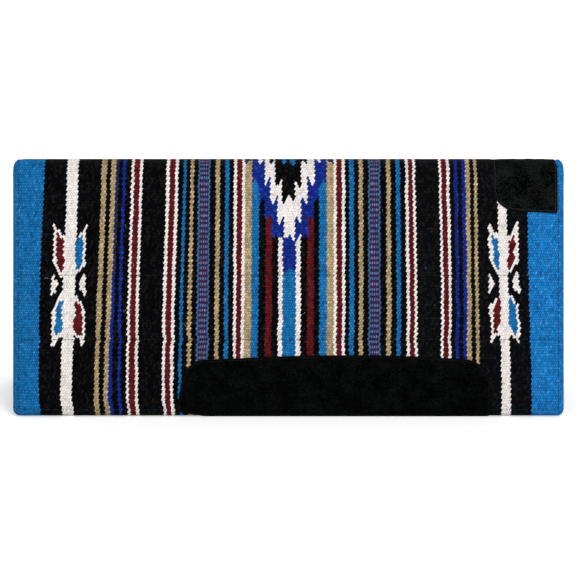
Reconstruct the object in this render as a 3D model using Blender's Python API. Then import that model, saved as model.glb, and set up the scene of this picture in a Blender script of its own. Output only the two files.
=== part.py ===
"""Felt saddle pad, standing over its fold like a tent.

A thick felt with a woven wool blanket over it, whose edge is turned round the felt's edge and
sewn. Wear leathers are stitched on at the withers and under each fender.
Metres, +Z up. +X is the pad's front, towards the horse's head. The off flap hangs on the -Y
side and the near flap on the +Y side. The pad stands on the lower edges of its two flaps.

Each piece is drawn flat, as it is cut, then bent over the spine, and last opened by two wedges
along the lines where the flaps fold. Flat drawings use x along the pad, y over the back from
the crest, and z as minus the depth under the cover's outer face.
"""

import math

import bmesh
import bpy
from mathutils import Vector

# The pad laid flat
PAD_LENGTH = 0.9144
PAD_WIDTH = 0.874
CORNER_RADIUS = 0.011
LEAST_CORNER_RADIUS = 0.0012

# The layers, from outside to inside
LEATHER_THICKNESS = 0.002
COVER_THICKNESS = 0.004
FELT_THICKNESS = 0.0159
FIT_GAP = 0.0003

# The sewn edge: a groove at the seam, the cover rolled round the felt, and the hem below
SEAM_INSET = 0.010
SEAM_DEPTH = 0.0014
SEAM_GROOVE_RUN = 0.006
ROLL_WIDEST_DEPTH = 0.013
ROLL_UNDER_RADIUS = 0.006
HEM_WIDTH = 0.018

# Quilting rows along the pad, by their distance from the crest
QUILT_UPPER_RUN = 0.204
QUILT_LOWER_RUN = 0.3106
QUILT_HALF_WIDTH = 0.010
QUILT_DEPTH = 0.0013

# The bend over the spine and the stance
FOLD_RADIUS = 0.034
FLAP_ANGLE = math.radians(15)
KERF_ANGLE = math.radians(16)
FLOOR_FLAT = 0.0005

# The withers wear leather, over the spine at the front
WITHERS_LENGTH = 0.104
WITHERS_FRONT_INSET = 0.0112
WITHERS_DROP = 0.0995
WITHERS_REAR_RISE = 0.0058
WITHERS_REAR_RADIUS = 0.033
WITHERS_FRONT_RADIUS = 0.004

# The fender wear leather, low on each flap
FENDER_LENGTH = 0.5197
FENDER_HEIGHT = 0.0879
FENDER_FRONT_INSET = 0.1225
FENDER_EDGE_INSET = 0.006
FENDER_REAR_SLANT = 0.0193
FENDER_CROWN = 0.006
FENDER_FRONT_RADIUS = 0.0416
FENDER_REAR_RADIUS = 0.026
FENDER_LOW_RADIUS = 0.006

# How finely curves are divided
FOLD_STEPS = 20
CORNER_STEPS = 4
ROLL_STEPS = 5
UNDER_STEPS = 3
CROWN_STEPS = 8
ARC_STEPS = 6
QUILT_SHARES = (-1.0, -0.5, 0.0, 0.5, 1.0)

HALF_LENGTH = PAD_LENGTH / 2
HALF_WIDTH = PAD_WIDTH / 2
FELT_DEPTH = COVER_THICKNESS + FIT_GAP
THICKNESS = FELT_DEPTH + FELT_THICKNESS
LEATHER_RISE = FIT_GAP + LEATHER_THICKNESS
FOLD_ANGLE = math.pi / 2 - FLAP_ANGLE
FOLD_RUN = FOLD_RADIUS * FOLD_ANGLE
QUILT_ROWS = (QUILT_UPPER_RUN, QUILT_LOWER_RUN)

COLOURS = {
    "cover": ((0.013, 0.165, 0.52, 1.0), 0.9),
    "felt": ((0.09, 0.088, 0.086, 1.0), 0.95),
    "leather": ((0.012, 0.012, 0.013, 1.0), 0.75),
}


def clear_scene():
    for obj in list(bpy.data.objects):
        bpy.data.objects.remove(obj)


def material(name):
    colour, roughness = COLOURS[name]
    mat = bpy.data.materials.new(name)
    mat.use_nodes = True
    shader = mat.node_tree.nodes["Principled BSDF"]
    shader.inputs["Base Color"].default_value = colour
    shader.inputs["Roughness"].default_value = roughness
    mat.diffuse_color = colour
    return mat


# The section of the sewn edge, as (inset from the pad's edge, depth) pairs


def groove(wall):
    """The dip beside the seam, from the pad's face to the seam, `wall` under the outer face."""
    return [
        (SEAM_INSET + SEAM_GROOVE_RUN, wall),
        (SEAM_INSET + SEAM_GROOVE_RUN / 2, wall + SEAM_DEPTH / 3),
    ]


def roll(wall):
    """The rolled edge from the seam round to the underside, `wall` under the outer face."""
    across = SEAM_INSET - wall
    down = ROLL_WIDEST_DEPTH - SEAM_DEPTH - wall
    points = []
    for step in range(ROLL_STEPS + 1):
        turn = math.pi / 2 * step / ROLL_STEPS
        points.append(
            (SEAM_INSET - across * math.sin(turn), ROLL_WIDEST_DEPTH - down * math.cos(turn))
        )
    across = ROLL_UNDER_RADIUS - wall
    down = THICKNESS - ROLL_WIDEST_DEPTH - wall
    for step in range(1, UNDER_STEPS + 1):
        turn = math.pi / 2 * step / UNDER_STEPS
        points.append(
            (ROLL_UNDER_RADIUS - across * math.cos(turn), ROLL_WIDEST_DEPTH + down * math.sin(turn))
        )
    return points


def cover_section():
    outside = groove(0) + roll(0) + [(HEM_WIDTH, THICKNESS)]
    inside = groove(COVER_THICKNESS) + roll(COVER_THICKNESS)
    inside.append((HEM_WIDTH, THICKNESS - COVER_THICKNESS))
    return outside + inside[::-1]


def felt_section():
    """The felt fills the cover, with a step pressed into its underside for the hem."""
    step_inset = HEM_WIDTH + FIT_GAP
    outside = groove(FELT_DEPTH) + roll(FELT_DEPTH)
    return outside + [(step_inset, THICKNESS - FELT_DEPTH), (step_inset, THICKNESS)]


# Flat drawings


def rounded_rectangle(inset):
    """Points of the pad's outline, moved in by `inset`, corner by corner."""
    radius = max(CORNER_RADIUS - inset, LEAST_CORNER_RADIUS)
    across = HALF_LENGTH - inset - radius
    along = HALF_WIDTH - inset - radius
    points = []
    for quarter, (sx, sy) in enumerate(((1, 1), (-1, 1), (-1, -1), (1, -1))):
        for step in range(CORNER_STEPS + 1):
            turn = math.pi / 2 * (quarter + step / CORNER_STEPS)
            x = sx * across + radius * math.cos(turn)
            y = sy * along + radius * math.sin(turn)
            points.append((x, y))
    return points


def shell_from_section(section):
    """A closed flat body: the section swept round the pad's outline and capped at both ends."""
    bm = bmesh.new()
    rings = []
    for inset, depth in section:
        rings.append([bm.verts.new((x, y, -depth)) for x, y in rounded_rectangle(inset)])
    for ring, following in zip(rings, rings[1:]):
        for k in range(len(ring)):
            after = (k + 1) % len(ring)
            bm.faces.new((ring[k], ring[after], following[after], following[k]))
    bm.faces.new(rings[0])
    bm.faces.new(rings[-1][::-1])
    return bm


def plate_from_outline(outline, lowest_depth, thickness):
    """A flat plate of a closed outline, lying from `lowest_depth` outwards."""
    bm = bmesh.new()
    face = bm.faces.new([bm.verts.new((x, y, -lowest_depth)) for x, y in outline])
    grown = bmesh.ops.extrude_face_region(bm, geom=[face])
    moved = [item for item in grown["geom"] if isinstance(item, bmesh.types.BMVert)]
    bmesh.ops.translate(bm, verts=moved, vec=(0, 0, thickness))
    return bm


def rounded_outline(corners):
    """Rounds each corner of a polygon, given as ((x, y), radius) going round it."""
    points = []
    count = len(corners)
    for k, (place, radius) in enumerate(corners):
        corner = Vector(place)
        back = (Vector(corners[k - 1][0]) - corner).normalized()
        ahead = (Vector(corners[(k + 1) % count][0]) - corner).normalized()
        half = back.angle(ahead) / 2
        middle = (back + ahead).normalized()
        centre = corner + middle * (radius / math.sin(half))
        swing = math.pi / 2 - half
        side = 1 if back.cross(ahead) < 0 else -1
        for step in range(ARC_STEPS + 1):
            turn = side * swing * (2 * step / ARC_STEPS - 1)
            out = -middle
            arm = Vector(
                (
                    out.x * math.cos(turn) - out.y * math.sin(turn),
                    out.x * math.sin(turn) + out.y * math.cos(turn),
                )
            )
            points.append(tuple(centre + arm * radius))
    return points


def withers_outline():
    front = HALF_LENGTH - WITHERS_FRONT_INSET
    rear = front - WITHERS_LENGTH
    rear_drop = WITHERS_DROP - WITHERS_REAR_RISE
    corners = (
        ((front, WITHERS_DROP), WITHERS_FRONT_RADIUS),
        ((rear, rear_drop), WITHERS_REAR_RADIUS),
        ((rear, -rear_drop), WITHERS_REAR_RADIUS),
        ((front, -WITHERS_DROP), WITHERS_FRONT_RADIUS),
    )
    return rounded_outline(corners)


def fender_outline(side):
    """The fender leather's outline, its top edge a shallow arch towards the spine."""
    front = HALF_LENGTH - FENDER_FRONT_INSET
    rear = front - FENDER_LENGTH
    low = HALF_WIDTH - FENDER_EDGE_INSET
    top = low - FENDER_HEIGHT
    corners = (
        ((front, low), FENDER_LOW_RADIUS),
        ((rear, low), FENDER_LOW_RADIUS),
        ((rear + FENDER_REAR_SLANT, top), FENDER_REAR_RADIUS),
        ((front, top), FENDER_FRONT_RADIUS),
    )
    arcs = rounded_outline(corners)
    arch_place = (ARC_STEPS + 1) * 3
    start = arcs[arch_place - 1][0]
    end = arcs[arch_place][0]
    arch = []
    for step in range(1, CROWN_STEPS):
        along = step / CROWN_STEPS
        rise = FENDER_CROWN * math.sin(math.pi * along)
        arch.append((start + (end - start) * along, top - rise))
    points = arcs[:arch_place] + arch + arcs[arch_place:]
    return [(x, side * y) for x, y in points]


# Shaping the flat drawings


def score(bm, runs):
    """Adds edges straight along the pad, so that the faces can bend there."""
    for run in runs:
        everything = bm.verts[:] + bm.edges[:] + bm.faces[:]
        bmesh.ops.bisect_plane(bm, geom=everything, plane_co=(0, run, 0), plane_no=(0, 1, 0))


def fold_runs():
    return [FOLD_RUN * (2 * step / FOLD_STEPS - 1) for step in range(FOLD_STEPS + 1)]


def quilt_runs():
    runs = []
    for row in QUILT_ROWS:
        for share in QUILT_SHARES:
            runs += [row + share * QUILT_HALF_WIDTH, -row - share * QUILT_HALF_WIDTH]
    return runs


def edge_runs():
    """Where the cover's face turns down into the rolled lower edge."""
    runs = [HALF_WIDTH - inset for inset, _ in groove(0) + roll(0)]
    return [run for run in runs if run < HALF_WIDTH - FENDER_EDGE_INSET]


def edge_depth(run):
    """Depth of the cover's outer face near the lower edge, straight between the scored lines."""
    section = groove(0) + roll(0)
    inset = HALF_WIDTH - abs(run)
    for (far, shallow), (near, deep) in zip(section, section[1:]):
        if near <= inset <= far:
            return shallow + (deep - shallow) * (far - inset) / (far - near)
    return 0


def quilt_squeeze(run):
    """The share of its thickness that the pad keeps where a quilting row draws it in."""
    drawn = 0
    for row in QUILT_ROWS:
        away = abs(abs(run) - row) / QUILT_HALF_WIDTH
        if away < 1:
            drawn = QUILT_DEPTH * math.cos(math.pi / 2 * away) ** 2
    return 1 - 2 * drawn / THICKNESS


def draw_in(bm):
    """Draws both faces of the pad towards its middle along the quilting rows."""
    for vert in bm.verts:
        vert.co.z = -THICKNESS / 2 + (vert.co.z + THICKNESS / 2) * quilt_squeeze(vert.co.y)


def follow_edge(bm):
    """Lays a leather over the groove and roll of the lower edge."""
    for vert in bm.verts:
        vert.co.z -= edge_depth(vert.co.y)


def bent(x, run, depth, fold_height):
    """Where a point of the flat drawing lies once the pad is bent over the spine."""
    side = math.copysign(1, run)
    turn = min(abs(run), FOLD_RUN) / FOLD_RADIUS
    beyond = max(abs(run) - FOLD_RUN, 0)
    radius = FOLD_RADIUS - depth
    out = radius * math.sin(turn) + beyond * math.sin(FLAP_ANGLE)
    up = radius * math.cos(turn) - beyond * math.cos(FLAP_ANGLE)
    return Vector((x, side * out, fold_height + up))


def fold_centre_height():
    """The bend's centre above the floor, with the hem's lowest line cut to a flat foot."""
    low = min(
        bent(0, HALF_WIDTH - inset, depth, 0).z
        for inset, depth in cover_section()
    )
    return -low - FLOOR_FLAT


FOLD_HEIGHT = fold_centre_height()


def bend(bm):
    for vert in bm.verts:
        vert.co = bent(vert.co.x, vert.co.y, -vert.co.z, FOLD_HEIGHT)


def fold_axis(side):
    """A point on the line, on the leather's outer face, that a flap folds about."""
    return bent(0, side * FOLD_RUN, -LEATHER_RISE, FOLD_HEIGHT)


def slice_off(bm, point, normal):
    """Removes what lies beyond a plane, on the side its normal points to, and closes the cut."""
    everything = bm.verts[:] + bm.edges[:] + bm.faces[:]
    cut = bmesh.ops.bisect_plane(
        bm, geom=everything, plane_co=point, plane_no=normal, clear_outer=True
    )
    rim = [item for item in cut["geom_cut"] if isinstance(item, bmesh.types.BMEdge)]
    rim = [edge for edge in rim if edge.is_boundary]
    if rim:
        bmesh.ops.holes_fill(bm, edges=rim, sides=0)


def kerf_plane(side, part):
    """One face of the wedge at a fold line. `part` is 1 on the flap's side, -1 on the spine's."""
    tilt = FOLD_ANGLE - part * KERF_ANGLE / 2
    along = Vector((0, side * math.cos(tilt), -math.sin(tilt)))
    point = fold_axis(side) + along * (part * FIT_GAP / 2)
    return point, along


def cut_to(bm, region):
    """Keeps one region of a bent piece: the spine (0), the off flap (-1) or the near flap (1)."""
    if region:
        point, along = kerf_plane(region, 1)
        slice_off(bm, point, -along)
        slice_off(bm, (0, 0, 0), (0, -region, 0))
        slice_off(bm, (0, 0, 0), (0, 0, -1))
        return
    for side in (-1, 1):
        point, along = kerf_plane(side, -1)
        slice_off(bm, point, along)


# Pieces


def add_piece(name, bm, mat, holder):
    """Turns a finished shape into an object that hangs on `holder`."""
    bmesh.ops.recalc_face_normals(bm, faces=bm.faces[:])
    bmesh.ops.translate(bm, verts=bm.verts[:], vec=-holder.location)
    mesh = bpy.data.meshes.new(name)
    bm.to_mesh(mesh)
    bm.free()
    mesh.materials.append(mat)
    obj = bpy.data.objects.new(name, mesh)
    bpy.context.scene.collection.objects.link(obj)
    obj.parent = holder
    return obj


def cover_shape():
    bm = shell_from_section(cover_section())
    score(bm, fold_runs() + quilt_runs())
    draw_in(bm)
    bend(bm)
    return bm


def felt_shape():
    bm = shell_from_section(felt_section())
    score(bm, fold_runs() + quilt_runs())
    draw_in(bm)
    bend(bm)
    return bm


def withers_shape():
    bm = plate_from_outline(withers_outline(), -FIT_GAP, LEATHER_THICKNESS)
    score(bm, fold_runs())
    bend(bm)
    return bm


def fender_shape(side):
    bm = plate_from_outline(fender_outline(side), -FIT_GAP, LEATHER_THICKNESS)
    score(bm, [side * run for run in edge_runs()])
    follow_edge(bm)
    bend(bm)
    return bm


def fold_holder(name, place):
    holder = bpy.data.objects.new(name, None)
    bpy.context.scene.collection.objects.link(holder)
    holder.location = place
    return holder


def build():
    clear_scene()
    mats = {name: material(name) for name in COLOURS}
    holders = {
        0: ("spine", fold_holder("spine", Vector((0, 0, 0)))),
        -1: ("off_flap", fold_holder("off_flap_fold", fold_axis(-1))),
        1: ("near_flap", fold_holder("near_flap_fold", fold_axis(1))),
    }
    whole_pieces = (
        ("felt", felt_shape, "felt"),
        ("cover", cover_shape, "cover"),
        ("withers_leather", withers_shape, "leather"),
    )
    for piece, shape, mat in whole_pieces:
        for region, (place, holder) in holders.items():
            bm = shape()
            cut_to(bm, region)
            add_piece(f"{piece}_{place}", bm, mats[mat], holder)
    for side in (-1, 1):
        place, holder = holders[side]
        add_piece(f"fender_leather_{place}", fender_shape(side), mats["leather"], holder)


build()
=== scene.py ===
"""Looks of the felt saddle pad: its woven cover, felt, suede leathers and stitches.

Everything is laid out flat, as it is cut, then wrapped round the pad's edge and bent over the
spine by the same measures as the CAD model. In the flat drawing `a` runs along the pad, `b`
over its back from the crest, and heights stand out from the cover's face. All in metres.
Each layer is made as an off half, on the -Y side, and a near half, which meet at the crest.
"""

import math

import bpy
import numpy as np
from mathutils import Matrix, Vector, geometry


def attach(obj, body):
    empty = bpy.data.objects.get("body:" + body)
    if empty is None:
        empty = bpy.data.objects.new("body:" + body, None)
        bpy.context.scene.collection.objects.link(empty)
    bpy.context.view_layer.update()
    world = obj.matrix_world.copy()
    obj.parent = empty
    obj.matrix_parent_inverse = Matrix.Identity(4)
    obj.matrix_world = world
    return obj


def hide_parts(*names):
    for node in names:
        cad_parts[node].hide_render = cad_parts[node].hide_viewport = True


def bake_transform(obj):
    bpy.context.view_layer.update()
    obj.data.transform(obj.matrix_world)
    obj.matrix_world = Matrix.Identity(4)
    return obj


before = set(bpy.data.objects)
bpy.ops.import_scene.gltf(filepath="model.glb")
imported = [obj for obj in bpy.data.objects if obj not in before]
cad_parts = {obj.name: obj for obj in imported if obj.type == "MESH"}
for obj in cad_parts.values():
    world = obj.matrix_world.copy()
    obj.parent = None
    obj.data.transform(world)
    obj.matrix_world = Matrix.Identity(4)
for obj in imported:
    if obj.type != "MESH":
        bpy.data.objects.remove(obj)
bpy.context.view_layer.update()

MM = 0.001

# The pad, as in the CAD model
HALF_LENGTH = 0.4572
HALF_WIDTH = 0.437
THICKNESS = 0.0202
FOLD_RADIUS = 0.034
FLAP_ANGLE = math.radians(15)
FOLD_RUN = FOLD_RADIUS * (math.pi / 2 - FLAP_ANGLE)
FOLD_HEIGHT = 0.3733403
COVER_UNDER = 0.0043
QUILT_RUNS = (0.204, 0.3106)
SEAM_INSET = 0.010

# The sewn edge: further in than the rim the cover is flat, and a power rounds the corners
RIM = 0.019
FLAT_A = HALF_LENGTH - RIM
FLAT_B = HALF_WIDTH - RIM
CORNER_POWER = 3.4
SEAM_POINT = 18

# The relief of the cover
CLOTH_STEP = 0.008
CLOTH_FRAMES = 22
CLOTH_PULL = 0.5
CLOTH_SINK = 0.0004
CLOTH_SETTINGS = {
    "quality": 3, "mass": 0.05, "tension_stiffness": 25, "compression_stiffness": 25,
    "shear_stiffness": 12, "bending_stiffness": 5, "vertex_group_mass": "sewn",
    "vertex_group_shrink": "slack", "shrink_min": -0.0001, "shrink_max": -0.0016,
}
QUILT_REACH = 0.010
QUILT_DEPTH = 0.0013
CREST_HOLD = 0.030
CREST_RISE = 0.0007
CREST_SEAM_RISE = 0.0012
CREST_PRESS = 0.0005
FLOOR_GAP = 0.0002

# The leathers
LEATHER_GAP = 0.0003
LEATHER_THICKNESS = 0.0016
LEATHER_TOP = LEATHER_GAP + LEATHER_THICKNESS
LEATHER_PRESS = 0.0012
LEATHER_SEAM = 0.0035
WITHERS_REAR, WITHERS_FRONT, WITHERS_LOW = 0.3386, 0.4460, 0.1019
WITHERS_SHOULDER, WITHERS_SLANT = 0.022, 0.0035
FENDER_REAR, FENDER_FRONT, FENDER_TOP, FENDER_LOW = -0.1863, 0.3347, 0.3459, 0.4410
FENDER_CROWN = 0.0096

# The stitches: their spacing, length and radius
EDGE_STITCH = (0.0068, 0.0058, 0.00042)
QUILT_STITCH = (0.0060, 0.0052, 0.00045)
LEATHER_STITCH = (0.0040, 0.0035, 0.00034)
STITCH_STEPS = 8
QUILT_END = HALF_LENGTH - 0.012

# The weave: picks of thick yarn along b, and the rows in which they cross the warp
ROW = 4.365 * MM
EDGE_PICK = 1.95 * MM
BEAD_TIP = 0.20
BEAD_SLANT = 0.24 * EDGE_PICK
BEAD_HEIGHT = 0.8 * MM
CROWN_HEIGHT = 0.1 * MM
PATTERN_DROP = 1.8 * MM
FEATHER_TRIM = 0.7 * MM
FEATHER_STRETCH = 1.0035
LEAN_RUN = 0.43

COLOURS = {
    "blue": (0.0090, 0.143, 0.378),
    "sky": (0.0116, 0.180, 0.500),
    "black": (0.0018, 0.0017, 0.0021),
    "white": (0.765, 0.718, 0.690),
    "tan": (0.410, 0.302, 0.148),
    "navy": (0.0140, 0.0200, 0.084),
    "royal": (0.0080, 0.0238, 0.228),
    "maroon": (0.110, 0.0094, 0.0120),
    "steel": (0.046, 0.118, 0.255),
    "lilac": (0.150, 0.153, 0.325),
    "purple": (0.034, 0.012, 0.040),
}
CODE = {name: k for k, name in enumerate(COLOURS)}

# Stripes from the rear end to the front: colour, width in mm and how many picks
STRIPES = [
    ("blue", 53.8, 26), ("black", 36.7, 19), ("white", 19.5, 10), ("black", 37.9, 20),
    ("tan", 9.3, 5), ("black", 6.5, 3), ("tan", 8.3, 4), ("navy", 5.3, 3), ("black", 5.6, 3),
    ("royal", 6.0, 3), ("black", 8.7, 4), ("white", 4.8, 2), ("maroon", 9.4, 5), ("white", 5.0, 3),
    ("black", 38.8, 21), ("white", 5.6, 3), ("maroon", 9.3, 5), ("white", 5.6, 3),
    ("black", 7.7, 4), ("blue", 5.1, 3), ("black", 6.5, 3), ("tan", 6.2, 3), ("black", 6.4, 3),
    ("multi", 20.3, 11), ("black", 8.6, 5), ("tan", 7.9, 4), ("black", 7.5, 4), ("blue", 7.5, 4),
    ("black", 7.2, 4), ("white", 5.1, 3), ("maroon", 9.0, 4), ("white", 4.9, 3), ("tan", 11.2, 6),
    ("blue", 12.4, 6), ("black", 10.4, 6), ("maroon", 11.6, 6), ("black", 9.8, 6),
    ("white", 7.2, 4), ("blue", 21.9, 10), ("white", 8.0, 4), ("black", 9.9, 5),
    ("maroon", 11.6, 6), ("black", 8.1, 4), ("blue", 12.6, 6), ("tan", 11.4, 6), ("white", 4.8, 2),
    ("maroon", 8.8, 5), ("white", 5.4, 3), ("black", 6.2, 3), ("blue", 8.9, 4), ("black", 6.9, 4),
    ("tan", 7.9, 4), ("black", 8.2, 4), ("multi", 20.4, 11), ("black", 9.1, 5), ("tan", 7.9, 4),
    ("black", 7.8, 4), ("blue", 7.5, 4), ("black", 8.3, 4), ("white", 5.1, 3), ("maroon", 7.2, 4),
    ("white", 4.8, 2), ("black", 38.3, 19), ("white", 4.6, 2), ("maroon", 8.2, 5),
    ("white", 5.1, 3), ("black", 7.1, 4), ("royal", 6.7, 4), ("black", 6.2, 3), ("royal", 6.8, 3),
    ("tan", 7.4, 4), ("black", 5.7, 3), ("tan", 6.1, 3), ("black", 33.3, 16), ("white", 15.2, 8),
    ("black", 33.6, 17), ("sky", 62.9, 31),
]

# How far the stripes lean to the front by the time they reach the lower edge, in mm
LEAN_AT = (-457, -405, -364, -306, -284, -252, -192, -172, -147, -89, 1, 96, 152, 185, 205,
           260, 285, 310, 352, 398, 457)
LEAN = (0, -8.8, -10.6, -13.4, -11.4, -8.6, -9, -10, -5, -2.5, 0, 0.8, 2, 3.3, 5, 4.8, 3.8, 5.2,
        8.2, 8.2, 0)
# and how far they bow besides, half way down
BOW = (0, -3.4, 0.2, -0.4, -1.4, -1.9, -1.5, -0.9, 0, -0.2, -1.1, 0.2, -0.6, 0.4, 0.6, 2, 1, 0.2,
       -0.8, -0.8, 0)
# and how far below the lower quilting row
LOW_AT = (-457, -403, -366, -347, -309, -300, -293, -285, -279, -274, -268, -255, -240, -201,
          -185, -173, -90, -70, -10, 20, 90, 130, 150, 165, 185, 198, 210, 255, 290, 310, 345, 457)
LOW = (0, -0.8, -0.8, -0.2, 0, -1.8, -1.0, -2.4, -1.0, 1.3, 0, -0.9, -0.4, 0.3, -0.6, 0, 0, -1.3,
       -1.8, -1.0, -0.7, -1.2, -0.8, -1.4, -0.7, -1.2, 0, -0.9, -0.8, 0.3, 0, 0)
# The sewing drags them forward at the lower quilting row and along the hem, rear to front
DRAG_AT = (-440, -400, -150, -90, 60, 420)
DRAG_QUILT = (0.6, 1.6, 2.2, 0.6, -0.8, -0.8)
DRAG_HEM = (3, 2.4, 3.2, 0, 0, -0.6)

# The stepped diamond over the crest, its colours' lower edges as (a, b) in mm
DIAMOND = [
    ("royal", [(-60.5, 54), (-59.5, 53), (-53.5, 40), (-49, 57), (-48, 83), (-43, 75), (-39.5, 80),
               (-39, 111), (-30, 104), (-28, 111), (-27, 143), (-21, 135), (-17.5, 143),
               (-16.5, 134.5), (-9.7, 144), (-9.6, 199), (2, 193), (12.8, 199), (13.3, 145),
               (21.3, 135), (22.3, 144), (27, 135), (32, 143), (32, 111), (34, 103), (42, 110),
               (42, 83), (47, 75), (51, 83), (51.3, 62), (55, 40.5), (63.5, 55)]),
    ("white", [(-39.2, 51), (-38, 55), (-31, 39), (-29.2, 41), (-28.8, 84), (-27.4, 86),
               (-20, 71), (-18, 73), (-17.6, 115), (-16.2, 118), (-9.2, 102), (-8, 104),
               (-7.6, 144), (-6.2, 146), (1.5, 132), (10, 145), (11.3, 143), (11.7, 103),
               (20.2, 116), (21.2, 114), (21.6, 72), (30.3, 86), (31.2, 84), (31.5, 39),
               (41, 56), (43, 53)]),
    ("black", [(-22.3, 51), (-20.8, 56), (-10.6, 44), (-10.2, 84), (-9, 87), (-0.3, 70), (6.3, 82),
               (10.3, 74), (10.7, 43), (18.5, 57), (20.5, 52)]),
    ("blue", [(-10.5, 8), (-8, 17), (-6, 17), (-3.5, 8)]),
    ("blue", [(1.5, 4), (4, 9), (8.5, 18), (11.5, 9)]),
    ("black", [(-31, 14), (-29.5, 19), (-24.5, 5)]),
    ("black", [(20.5, 4.5), (25, 5), (28, 12), (32, 11)]),
    ("white", [(-50, 18), (-47.5, 13), (-43, 4)]),
    ("white", [(47.5, 4), (50.5, 11), (53.5, 18)]),
    ("navy", [(65, 5), (69, 9), (73, 14), (76, 21)]),
    ("navy", [(-73.5, 15), (-70, 11), (-67, 4.5), (-62, 4.5)]),
]

# The feathers on the two wide white stripes, outlines in mm
FEATHERS = [
    ("white", [(-391, 110), (-385, 122), (-380, 130), (-374, 136), (-367, 138), (-367, 208),
               (-376, 208), (-380, 205), (-380, 201), (-385, 194), (-388, 186), (-391, 182),
               (-391, 139), (-389, 129), (-391, 123)]),
    ("maroon", [(-384, 133), (-380, 139), (-374, 144), (-373, 154), (-373, 179), (-375, 189),
                (-377, 196), (-380, 194), (-384, 185), (-386, 171), (-386, 142)]),
    ("white", [(-335.5, 117), (-340, 124), (-344, 130), (-349, 135), (-352, 139), (-357, 139),
               (-357, 207), (-353, 207), (-351, 202), (-346, 196), (-340, 188), (-336, 182),
               (-337, 171), (-336, 145), (-334.5, 126), (-334, 118)]),
    ("blue", [(-340, 134), (-342, 139), (-341, 154), (-342, 178), (-346, 189), (-352, 196),
              (-354, 193), (-354, 179), (-353, 147), (-348, 139)]),
    ("white", [(-394.5, 203), (-392, 201), (-389.3, 203.4), (-388.9, 207.7), (-385.5, 212.1),
               (-383.7, 216.4), (-384.2, 221), (-385.6, 225), (-386.2, 229.6), (-390.5, 233.9),
               (-393, 237), (-394.5, 237)]),
    ("white", [(-339, 200), (-341.5, 203.4), (-343.3, 207.7), (-345.3, 212.1), (-347.3, 216.4),
               (-347.5, 225.4), (-343.5, 229.5), (-341, 233.9), (-338, 238), (-336.4, 232),
               (-336.4, 207), (-338, 203)]),
    ("white", [(-376.2, 209), (-373, 209), (-373, 232), (-376.2, 232)]),
    ("white", [(-377, 231), (-383, 239), (-388, 249), (-393, 259), (-395, 286), (-395, 325),
               (-389, 317), (-384, 310), (-380, 307), (-376, 303), (-370, 303), (-370, 231)]),
    ("blue", [(-378, 243), (-375, 247), (-377, 259), (-376, 290), (-381, 298), (-385, 305),
              (-389, 299), (-390, 291), (-387, 283), (-387, 258), (-383, 251)]),
    ("white", [(-357, 233), (-351, 238), (-342, 248), (-338, 259), (-337, 281), (-338, 298),
               (-340, 320), (-347, 316), (-346, 312), (-351, 307), (-356, 303), (-361, 303),
               (-361, 233)]),
    ("maroon", [(-354, 243), (-349, 248), (-344, 257), (-342, 270), (-343, 299), (-347, 305),
                (-352, 299), (-358, 284), (-354, 272), (-355, 252)]),
    ("white", [(333.5, 117.6), (336.2, 121.5), (341, 129), (349, 135), (354, 136), (354, 202),
               (350, 202), (347, 198), (338, 186), (334, 180), (331, 142), (333, 135),
               (331, 129), (331, 121)]),
    ("blue", [(339, 135), (345, 140), (348, 147), (350, 169), (350, 194), (345, 188),
              (340, 180), (340, 154), (338, 145)]),
    ("white", [(380.6, 112.5), (375, 125), (370, 129), (369, 135), (362, 136), (362, 198),
               (369, 198), (373, 193), (378, 186), (382, 179), (382, 144), (381.4, 124),
               (382, 113)]),
    ("maroon", [(376, 134), (377, 154), (375, 164), (377, 176), (373, 184), (369, 192),
                (367, 192), (365, 184), (366, 147), (370, 141)]),
    ("white", [(333, 200.5), (334, 200), (335.4, 203.4), (337.5, 207.7), (339.8, 212.1),
               (342, 216.4), (340, 220.8), (338, 225.2), (336.2, 229.5), (335, 232), (333, 232)]),
    ("white", [(380, 196), (378.3, 199), (376.2, 203.4), (374.6, 207.7), (372.9, 212.1),
               (372.9, 221), (375, 225.2), (379.5, 229.5), (382, 232.5), (384, 232.5),
               (384.5, 229.5), (386.4, 225.2), (383.4, 221), (383.4, 203), (381.5, 199)]),
    ("white", [(350, 236), (344, 241), (337, 250), (334, 255), (334, 265), (336, 274),
               (335, 309), (337, 319), (342, 313), (343, 305), (348, 303), (352, 299),
               (357, 298), (357, 236)]),
    ("maroon", [(350, 240), (353, 248), (351, 283), (347, 296), (343, 300), (341, 293),
                (340, 272), (342, 254), (347, 248)]),
    ("white", [(366, 233), (373, 237), (378, 245), (382.4, 251), (385, 281), (386, 297),
               (384, 304), (385, 321), (381, 315), (377, 309), (373, 303), (367, 301),
               (362, 301), (362, 233)]),
    ("blue", [(369, 239), (373, 245), (377, 250), (379, 259), (380, 276), (381, 296),
              (378, 303), (373, 294), (367, 286), (367, 245)]),
]


# Laying the flat drawing over the pad


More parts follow.
